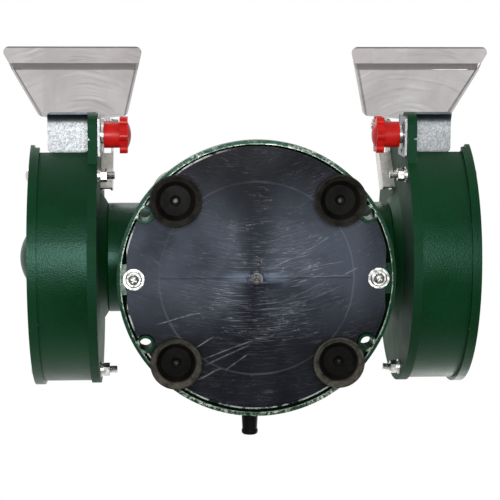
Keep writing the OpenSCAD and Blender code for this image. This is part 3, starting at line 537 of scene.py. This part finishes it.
def shield_shade_lines(g, x, y):
    """1 along the lip's side walls and on the front edge, where the sheet is seen edge on: the mask of a
    painted shade there.
    """
    # The sheet's sides: where they are at its rear edge, and how they spread towards the front
    rear_y = -0.0958
    near_x, near_slope = 0.0847, 0.238
    far_x, far_slope = 0.1470, 0.524
    across = g.size(x)
    forward = g.less(rear_y, y)
    from_near = g.less(g.add(across, g.times(forward, near_slope)), near_x)
    from_far = g.add(g.less(g.times(forward, far_slope), across), far_x)
    from_side = g.math("MINIMUM", from_near, from_far)
    behind_step = g.ramp(y, SHIELD_FRONT_Y + 0.0115, SHIELD_FRONT_Y + 0.0160)
    line = g.times(g.near(from_side, 0.0019, 0.0002, 0.0009), behind_step, 0.8)
    return g.larger(line, g.below(y, SHIELD_FRONT_Y + 0.0006, SHIELD_FRONT_Y + 0.0012))


def clear_sheet():
    """Scratched clear plastic, rubbed in arcs, with painted shade where its walls and edges are seen
    through.
    """
    g = Surface("shield_clear", (0.47, 0.45, 0.45), roughness=0.04, Transmission_Weight=1.0, IOR=1.45,
                Specular_IOR_Level=0.3)
    x, y, _ = g.split(g.coord)
    about_x, about_y = 0.116, -0.085
    swirl = g.reach(g.times(g.less(g.size(x), about_x), 0.75), g.less(y, about_y))
    swirl = g.add(swirl, g.times(g.noise(30, 3), 0.006))
    rubbed = g.noise(1.0, 3, 0.6, g.join(g.times(swirl, 430.0), g.times(x, 22.0)))
    patches = g.ramp(g.noise(40, 4), 0.36, 0.62)
    dark_arcs = g.times(g.ramp(rubbed, 0.52, 0.70), patches)
    pale_arcs = g.times(g.ramp(rubbed, 0.46, 0.30), patches)
    cloud = g.ramp(g.noise(34, 5, 0.62, distortion=0.5), 0.36, 0.7)
    tone = g.mix(cloud, (0.55, 0.53, 0.525), (0.46, 0.44, 0.44))
    tone = g.mix(g.times(dark_arcs, 0.6), tone, (0.34, 0.32, 0.315))
    tone = g.mix(g.times(pale_arcs, 0.7), tone, (0.68, 0.67, 0.67))
    # Painted shade along the walls' edges and the front edge
    tone = g.mix(shield_shade_lines(g, x, y), tone, (0.17, 0.16, 0.155))
    normal = g.nodes.new("ShaderNodeTexCoord").outputs["Normal"]
    # Painted shade on the sheet's steep walls
    wall_shade = g.below(g.size(g.split(normal)[2]), 0.70, 0.86)
    g.color(g.mix(wall_shade, tone, (0.13, 0.12, 0.115)))
    g.rough(g.ramp(g.larger(dark_arcs, cloud), 0.0, 1.0, 0.03, 0.16))
    g.bump(g.noise(70, 4), 0.00008, 0.4)
    return g.mat


# --------------------------------------------------------- metals and wheels


def steel(name, tone, rough, grain=(400, 400, 400), spots=0.25):
    """Plain or plated steel, with clouds, small stains and a fine grain."""
    g = Surface(name, tone, metallic=1.0, roughness=rough)
    base = g.mix(g.ramp(g.noise(120, 4), 0.3, 0.7), tuple(0.72 * t for t in tone), tone)
    stain = g.times(g.ramp(g.noise(260, 6, 0.7), 0.56, 0.72), spots)
    g.color(g.mix(stain, base, (0.24, 0.21, 0.17)))
    fine = g.noise(1.0, 3, source=g.stretched(grain))
    g.rough(g.ramp(fine, 0.3, 0.7, rough * 0.7, rough * 1.5))
    g.bump(fine, 0.00002, 0.5)
    return g


def zinc_fasteners():
    """Plated screws and bolts: threads, bright flats on the plate's washers and studs in the feet darkened
    with painted shade.
    """
    g = steel("zinc_fasteners", (0.70, 0.70, 0.68), 0.28, spots=0.35)
    x, y, z = g.split(g.coord)
    across = g.size(x)
    # The threads that stand out of the guards' nuts
    thread_from, thread_to, pitch = 0.0905, 0.0966, 0.0009
    threaded = g.times(g.ramp(across, thread_from - 0.0002, thread_from),
                       g.below(across, thread_to, thread_to + 0.0002))
    tooth = g.size(g.less(g.math("FRACT", g.math("DIVIDE", x, pitch)), 0.5))
    g.bump(g.times(tooth, threaded), 0.0005, 1.0)

    # The plate's washers, bright from beside the screw's head to past their edge
    inner_r, outer_r, top_z = 0.0042, 0.0072, 0.0040
    away = g.reach(g.less(across, PLATE_SCREW_X), y)
    flat = g.times(g.ramp(away, inner_r - 0.0006, inner_r), g.below(away, outer_r, outer_r + 0.0004))
    flat = g.times(flat, g.below(z, top_z, top_z + 0.0020))
    bright = g.mix(g.ramp(g.noise(500, 4), 0.4, 0.7), (0.90, 0.90, 0.87), (0.72, 0.73, 0.70))
    tone = g.mix(flat, g.so_far("Base Color"), bright)

    # The studs deep in the feet, darkened with painted shade
    stud_r = 0.0060
    stud_shade = g.below(g.reach(*off_foot(g, x, y)), stud_r, stud_r + 0.0020)
    g.color(g.mix(stud_shade, tone, g.mix(g.noise(900, 3), (0.02, 0.02, 0.02), (0.10, 0.10, 0.09))))
    return g.mat


def galvanised():
    """A zinc coat with a fine bright spangle, and painted shade round a rest's rolled front."""
    g = Surface("galvanised_steel", (0.24, 0.25, 0.26), metallic=1.0, roughness=0.44)
    _, y, z = g.split(g.coord)
    tone, dull, _ = g.split(g.cells(1500, out="Color"))
    cloud = g.ramp(g.noise(85, 4), 0.3, 0.7)
    shade = g.mix(tone, (0.120, 0.130, 0.135), (0.310, 0.323, 0.333))
    shade = g.mix(g.times(cloud, 0.3), shade, (0.17, 0.18, 0.19))
    stain = g.times(g.ramp(g.noise(300, 6, 0.75), 0.62, 0.74), 0.5)
    shade = g.mix(stain, shade, (0.16, 0.16, 0.155))
    # Painted shade, dark blue-grey, round the rest's rolled front
    front = g.below(y, REST_FRONT_Y + 0.0025, REST_FRONT_Y + 0.0120)
    roll = g.times(front, g.ramp(z, REST_TOP_Z - 0.0089, REST_TOP_Z - 0.0074))
    g.color(g.mix(g.times(roll, 0.85), shade, (0.030, 0.040, 0.048)))
    g.rough(g.ramp(dull, 0.0, 1.0, 0.38, 0.52))
    g.bump(tone, 0.000012, 0.5)
    g.bump(g.noise(120, 3), 0.0001, 0.3)
    return g.mat


def grit():
    """A grinding wheel's open grain."""
    g = Surface("wheel_grit", (0.30, 0.30, 0.29), roughness=0.92, Specular_IOR_Level=0.3)
    tone, dull, _ = g.split(g.cells(1500, out="Color"))
    grains = g.mix(tone, (0.14, 0.14, 0.135), (0.52, 0.51, 0.49))
    g.color(g.mix(g.ramp(g.noise(300, 3), 0.58, 0.72), grains, (0.06, 0.06, 0.06)))
    g.rough(g.ramp(dull, 0, 1, 0.75, 0.98))
    g.bump(g.cells(1500, "SMOOTH_F1"), 0.0004, 0.9)
    return g.mat


def laminations():
    """The stator's and rotor's stacked sheets."""
    g = Surface("lamination_steel", (0.35, 0.35, 0.36), metallic=1.0, roughness=0.45)
    line = g.wave(1000, "X", 0.2, 1)
    g.color(g.mix(line, (0.16, 0.16, 0.17), (0.42, 0.42, 0.43)))
    g.rough(g.ramp(g.noise(80, 3), 0.3, 0.7, 0.35, 0.55))
    g.bump(line, 0.00008, 0.8)
    return g.mat


def copper():
    """Enamelled wire, in fine turns about an axis along X."""
    g = Surface("winding_copper", (0.55, 0.22, 0.09), metallic=1.0, roughness=0.3)
    x, y, z = g.split(g.coord)
    wire = g.wave(520, "Z", 3, 2, g.join(z, y, g.less(0.0, x)), "RINGS")
    g.color(g.mix(wire, (0.26, 0.09, 0.035), (0.66, 0.28, 0.12)))
    g.rough(g.ramp(g.noise(120, 3), 0.3, 0.7, 0.22, 0.42))
    g.bump(wire, 0.0003, 0.9)
    return g.mat


MATERIALS = {
    "base_paint": base_paint(),
    "guard_paint": guard_paint(),
    "motor_paint": green_paint("motor_paint").mat,
    "bell_paint": green_paint("bell_paint", 700, 0.00009).mat,
    "plate_plastic": plate_plastic(),
    "foot_rubber": foot_rubber(),
    "sleeve_rubber": rubber("sleeve_rubber", (0.0028, 0.0028, 0.0032), 0.04, 0.03).mat,
    "switch_plastic": moulded("switch_plastic", (0.02, 0.02, 0.02), 0.35),
    "rocker_plastic": moulded("rocker_plastic", (0.016, 0.016, 0.017), 0.22),
    "capacitor_shell": moulded("capacitor_shell", (0.72, 0.72, 0.69), 0.4),
    "fan_plastic": moulded("fan_plastic", (0.03, 0.03, 0.03), 0.45),
    "lamination_steel": laminations(),
    "winding_copper": copper(),
    "bearing_steel": steel("bearing_steel", (0.62, 0.62, 0.63), 0.16, spots=0.05).mat,
    "spindle_steel": steel("spindle_steel", (0.52, 0.52, 0.52), 0.3, (900, 60, 60)).mat,
    "zinc_fasteners": zinc_fasteners(),
    "galvanised_steel": galvanised(),
    "bracket_steel": steel("bracket_steel", (0.66, 0.64, 0.60), 0.36, spots=0.35).mat,
    "wheel_grit": grit(),
    "knob_plastic": moulded("knob_plastic", (0.44, 0.0065, 0.0045), 0.32, 0.14),
    "shield_clear": clear_sheet(),
}
for part in frame["record"]["subparts"]:
    obj = frame["nodes"][part["node"]]
    obj.data.materials.clear()
    obj.data.materials.append(MATERIALS[part["material_slot"]])

# ------------------------------------------------------------ pressed hub domes


def hub_dome(side, node):
    """An outer cover's deep dome over the spindle nut: a thin spherical shell about the spindle's axis."""
    foot_r = 0.0230
    height = 0.0114
    sheet = 0.0012
    sunk = 0.0001
    rings = 14
    turns = 72
    ball_r = (foot_r ** 2 + height ** 2) / (2 * height)
    ball_x = COVER_FACE_X - sunk - (ball_r - height)

    def arc(radius):
        """Radius and distance along the axis, from near the pole to the dome's foot."""
        reach = math.acos((ball_r - height) / radius)
        angles = [reach * k / rings for k in range(1, rings + 1)]
        return [(radius * math.sin(a), radius * math.cos(a)) for a in angles]

    profile = arc(ball_r) + arc(ball_r - sheet)[::-1]
    count = len(profile)
    verts, faces = [], []
    for k in range(turns):
        angle = 2 * math.pi * k / turns
        for r, along in profile:
            verts.append((side * (ball_x + along), r * math.cos(angle), SPINDLE_Z + r * math.sin(angle)))
    for k in range(turns):
        here, there = k * count, ((k + 1) % turns) * count
        for j in range(count - 1):
            faces.append((here + j, there + j, there + j + 1, here + j + 1))
    for index, radius in ((0, ball_r), (count - 1, ball_r - sheet)):
        pole = len(verts)
        verts.append((side * (ball_x + radius), 0.0, SPINDLE_Z))
        faces.extend((k * count + index, ((k + 1) % turns) * count + index, pole) for k in range(turns))

    mesh = bpy.data.meshes.new(f"{node}_dome")
    mesh.from_pydata(verts, [], faces)
    shell = bmesh.new()
    shell.from_mesh(mesh)
    bmesh.ops.recalc_face_normals(shell, faces=shell.faces)
    shell.to_mesh(mesh)
    shell.free()
    for face in mesh.polygons:
        face.use_smooth = True
    obj = bpy.data.objects.new(f"{node}_dome", mesh)
    scene.collection.objects.link(obj)
    mesh.materials.append(MATERIALS["guard_paint"])
    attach(obj, "frame")


hub_dome(-1, "left_outer_cover")
hub_dome(1, "right_outer_cover")

# --------------------------------------------------------------- stage, light

FLOOR_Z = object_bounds()[0][2]


def shows_backdrop(g):
    """1 for the rays that show the backdrop: from the camera, off gloss and through glass."""
    path = g.nodes.new("ShaderNodeLightPath").outputs
    return g.larger(g.larger(path["Is Camera Ray"], path["Is Glossy Ray"]), path["Is Transmission Ray"])


def stage_floor():
    """A pale floor, seen from above only, that casts no shadow and runs out into the white backdrop."""
    half = 6.0
    signs = ((-1, -1), (1, -1), (1, 1), (-1, 1))
    corners = [(half * x, half * y, FLOOR_Z) for x, y in signs]
    mesh = bpy.data.meshes.new("stage_floor")
    mesh.from_pydata(corners, [], [(0, 1, 2, 3)])
    obj = bpy.data.objects.new("stage_floor", mesh)
    scene.collection.objects.link(obj)

    g = Surface("stage_floor", (0.90, 0.90, 0.90), roughness=0.8)
    g.color(g.mix(g.noise(3, 4), (0.89, 0.89, 0.89), (0.91, 0.91, 0.91)))
    x, y, _ = g.split(g.coord)
    far = g.ramp(g.reach(x, y), 0.30, 1.10)
    white = g.nodes.new("ShaderNodeEmission")
    fade = g.nodes.new("ShaderNodeMixShader")
    g.put(g.times(far, shows_backdrop(g)), fade.inputs[0])
    g.put(g.bsdf.outputs[0], fade.inputs[1])
    g.put(white.outputs[0], fade.inputs[2])

    behind = g.nodes.new("ShaderNodeNewGeometry").outputs["Backfacing"]
    from_lamp = g.nodes.new("ShaderNodeLightPath").outputs["Is Shadow Ray"]
    clear = g.nodes.new("ShaderNodeBsdfTransparent")
    open_below = g.nodes.new("ShaderNodeMixShader")
    g.put(g.larger(behind, from_lamp), open_below.inputs[0])
    g.put(fade.outputs[0], open_below.inputs[1])
    g.put(clear.outputs[0], open_below.inputs[2])
    g.put(open_below.outputs[0], g.find("OUTPUT_MATERIAL").inputs["Surface"])
    mesh.materials.append(g.mat)


def world_light(level):
    """A white world that lights at a level, and is seen at strength 1."""
    world = bpy.data.worlds.new("studio")
    scene.world = world
    world.use_nodes = True
    g = Graph(world.node_tree)
    back = g.find("BACKGROUND")
    back.inputs["Color"].default_value = (1, 1, 1, 1)
    g.put(g.ramp(shows_backdrop(g), 0.0, 1.0, level, 1.0), back.inputs["Strength"])


def area_lamp(name, at, aim, size, power):
    """A round lamp of a diameter in metres and a power in watts, aimed at a point."""
    data = bpy.data.lights.new(name, "AREA")
    data.shape = "DISK"
    data.size = size
    data.energy = power
    lamp = bpy.data.objects.new(name, data)
    lamp.location = at
    lamp.rotation_euler = (Vector(aim) - Vector(at)).to_track_quat("-Z", "Y").to_euler()
    scene.collection.objects.link(lamp)


BASE_MIDDLE = (0, 0, 0.05)
WHOLE_MIDDLE = (0, 0, 0.08)
stage_floor()
world_light(0.22)
# Three lamps shine up through the floor, for the photograph's view from below, and two shine down
area_lamp("flash", (-0.06, -0.20, -1.05), (-0.02, 0, 0.05), 0.34, 12)
area_lamp("key_below", (-0.50, 0.60, -1.05), BASE_MIDDLE, 0.6, 1.5)
area_lamp("fill_below", (0.75, 0.25, -1.0), BASE_MIDDLE, 0.9, 1.5)
area_lamp("key_above", (-0.8, -1.1, 1.4), WHOLE_MIDDLE, 1.5, 28)
area_lamp("rim_above", (1.0, 0.9, 1.1), WHOLE_MIDDLE, 1.4, 14)

# --------------------------------------------------------------------- camera

# The photograph's camera: below the machine and a little in front of it, with a slight roll in degrees
CAMERA_AT = Vector((-0.061584, -0.171806, -1.002640))
CAMERA_AIM = Vector((-0.004503, -0.019045, 0.0))
CAMERA_ROLL = -0.1635
FOCAL_PIXELS = 1590.24
PHOTO_WIDTH_PIXELS = 500


def photo_camera():
    """The photograph's camera, with the machine's front at the top of its picture."""
    front = (0, -1, 0)
    ahead = (CAMERA_AIM - CAMERA_AT).normalized()
    right = ahead.cross(front).normalized()
    up = right.cross(ahead)
    roll = Matrix.Rotation(math.radians(CAMERA_ROLL), 3, ahead)
    turned = roll @ Matrix((right, up, -ahead)).transposed()
    data = bpy.data.cameras.new("camera")
    data.sensor_width = 36
    data.lens = FOCAL_PIXELS / PHOTO_WIDTH_PIXELS * data.sensor_width
    data.clip_end = 20
    camera = bpy.data.objects.new("camera", data)
    camera.matrix_world = Matrix.Translation(CAMERA_AT) @ turned.to_4x4()
    scene.collection.objects.link(camera)
    return camera


scene.camera = photo_camera()
scene.view_settings.view_transform = "Standard"
